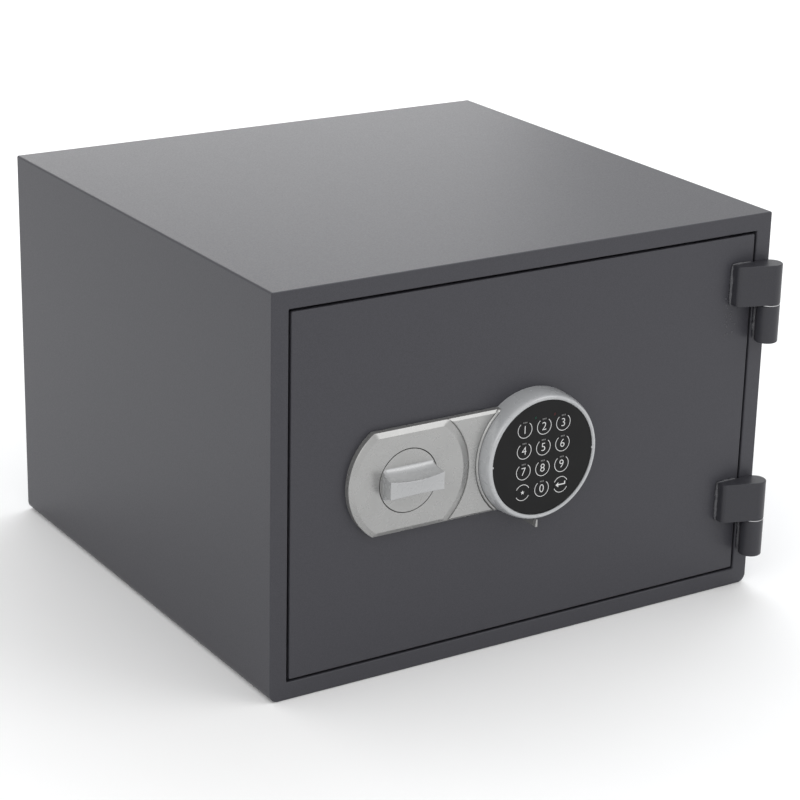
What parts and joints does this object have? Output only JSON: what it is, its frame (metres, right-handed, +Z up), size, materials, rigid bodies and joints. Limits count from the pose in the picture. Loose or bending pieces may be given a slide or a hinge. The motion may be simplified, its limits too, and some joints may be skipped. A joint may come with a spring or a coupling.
{
  "type": "in room safe",
  "caption": "Small fire-resistant in-room safe with an outside-hinged door, turn knob, keypad lock and sliding bolts.",
  "frame": {"origin": "centre of the base, on the surface that the safe stands on", "axes": "+X to the right seen from the front, +Y from front to back, +Z up; the door looks along -Y"},
  "size_m": [0.4482, 0.4475, 0.313],
  "materials": {
    "body_paint": "satin",
    "liner_paint": "satin",
    "fire_filling": "matte",
    "bare_steel": "satin",
    "zinc_steel": "satin",
    "brass": "satin",
    "silver_paint": "satin",
    "silver_plastic": "satin",
    "black_film": "satin",
    "rubber": "matte",
    "plug_plastic": "matte",
    "circuit_board": "satin",
    "led_green": "gloss",
    "led_red": "gloss",
    "battery_jacket": "satin"
  },
  "bodies": {
    "cabinet": {"body_shell": "body_paint", "back_panel": "body_paint", "body_insulation": "fire_filling", "jamb_frame": "body_paint", "inner_liner": "liner_paint", "anchor_sleeve": "bare_steel", "anchor_plug": "plug_plastic", "hinge_knuckle_upper": "body_paint", "hinge_pin_upper": "bare_steel", "hinge_washer_upper": "bare_steel", "hinge_knuckle_lower": "body_paint", "hinge_pin_lower": "bare_steel", "hinge_washer_lower": "bare_steel"},
    "door": {"door_panel": "body_paint", "door_insulation": "fire_filling", "door_pan": "liner_paint", "door_cover": "liner_paint", "door_seal": "rubber", "hinge_leaf_upper": "body_paint", "hinge_leaf_lower": "body_paint", "dog_bar": "zinc_steel", "cover_screw_1": "zinc_steel", "cover_screw_2": "zinc_steel", "cover_screw_3": "zinc_steel", "cover_screw_4": "zinc_steel", "bolt_guide": "zinc_steel", "guide_stud_upper": "zinc_steel", "guide_stud_lower": "zinc_steel", "spindle_bush": "brass", "lock_case": "zinc_steel", "lock_plate": "silver_paint", "keypad_housing": "silver_paint", "keypad_face": "black_film", "key_board": "circuit_board", "keypad_cable": "rubber", "led_green": "led_green", "led_red": "led_red"},
    "knob": {"knob": "silver_paint", "spindle": "bare_steel", "cam": "zinc_steel"},
    "bolt_work": {"bolt_carriage": "zinc_steel", "live_bolt_upper": "bare_steel", "live_bolt_lower": "bare_steel"},
    "lock_bolt": {"lock_bolt": "brass"},
    "battery_drawer": {"battery_drawer": "silver_plastic", "battery": "battery_jacket"},
    "key_1": {"key_1": "black_film"},
    "key_2": {"key_2": "black_film"},
    "key_3": {"key_3": "black_film"},
    "key_4": {"key_4": "black_film"},
    "key_5": {"key_5": "black_film"},
    "key_6": {"key_6": "black_film"},
    "key_7": {"key_7": "black_film"},
    "key_8": {"key_8": "black_film"},
    "key_9": {"key_9": "black_film"},
    "key_star": {"key_star": "black_film"},
    "key_0": {"key_0": "black_film"},
    "key_enter": {"key_enter": "black_film"}
  },
  "joints": [
    {"name": "door_hinge", "type": "hinge", "parent": "cabinet", "child": "door", "pos_m": [0.2165, -0.2222, 0.1565], "axis": [0, 0, 1], "range_deg": [0, 180]},
    {"name": "knob_turn", "type": "hinge", "parent": "door", "child": "knob", "pos_m": [-0.1122, -0.2205, 0.1565], "axis": [0, -1, 0], "range_deg": [0, 90]},
    {"name": "bolt_throw", "type": "slide", "parent": "door", "child": "bolt_work", "axis": [-1, 0, 0], "range_m": [0, 0.02]},
    {"name": "lock_bolt_slide", "type": "slide", "parent": "door", "child": "lock_bolt", "axis": [0, 0, -1], "range_m": [0, 0.007]},
    {"name": "battery_slide", "type": "slide", "parent": "door", "child": "battery_drawer", "axis": [0, 0, -1], "range_m": [0, 0.052]},
    {"name": "key_1_press", "type": "slide", "parent": "door", "child": "key_1", "axis": [0, 1, 0], "range_m": [0, 0.0005], "stiffness_N_per_m": 2000},
    {"name": "key_2_press", "type": "slide", "parent": "door", "child": "key_2", "axis": [0, 1, 0], "range_m": [0, 0.0005], "stiffness_N_per_m": 2000},
    {"name": "key_3_press", "type": "slide", "parent": "door", "child": "key_3", "axis": [0, 1, 0], "range_m": [0, 0.0005], "stiffness_N_per_m": 2000},
    {"name": "key_4_press", "type": "slide", "parent": "door", "child": "key_4", "axis": [0, 1, 0], "range_m": [0, 0.0005], "stiffness_N_per_m": 2000},
    {"name": "key_5_press", "type": "slide", "parent": "door", "child": "key_5", "axis": [0, 1, 0], "range_m": [0, 0.0005], "stiffness_N_per_m": 2000},
    {"name": "key_6_press", "type": "slide", "parent": "door", "child": "key_6", "axis": [0, 1, 0], "range_m": [0, 0.0005], "stiffness_N_per_m": 2000},
    {"name": "key_7_press", "type": "slide", "parent": "door", "child": "key_7", "axis": [0, 1, 0], "range_m": [0, 0.0005], "stiffness_N_per_m": 2000},
    {"name": "key_8_press", "type": "slide", "parent": "door", "child": "key_8", "axis": [0, 1, 0], "range_m": [0, 0.0005], "stiffness_N_per_m": 2000},
    {"name": "key_9_press", "type": "slide", "parent": "door", "child": "key_9", "axis": [0, 1, 0], "range_m": [0, 0.0005], "stiffness_N_per_m": 2000},
    {"name": "key_star_press", "type": "slide", "parent": "door", "child": "key_star", "axis": [0, 1, 0], "range_m": [0, 0.0005], "stiffness_N_per_m": 2000},
    {"name": "key_0_press", "type": "slide", "parent": "door", "child": "key_0", "axis": [0, 1, 0], "range_m": [0, 0.0005], "stiffness_N_per_m": 2000},
    {"name": "key_enter_press", "type": "slide", "parent": "door", "child": "key_enter", "axis": [0, 1, 0], "range_m": [0, 0.0005], "stiffness_N_per_m": 2000}
  ],
  "couplings": [
    {"joint": "knob_turn", "follows": "bolt_throw", "rad_per_m": 78.54}
  ]
}
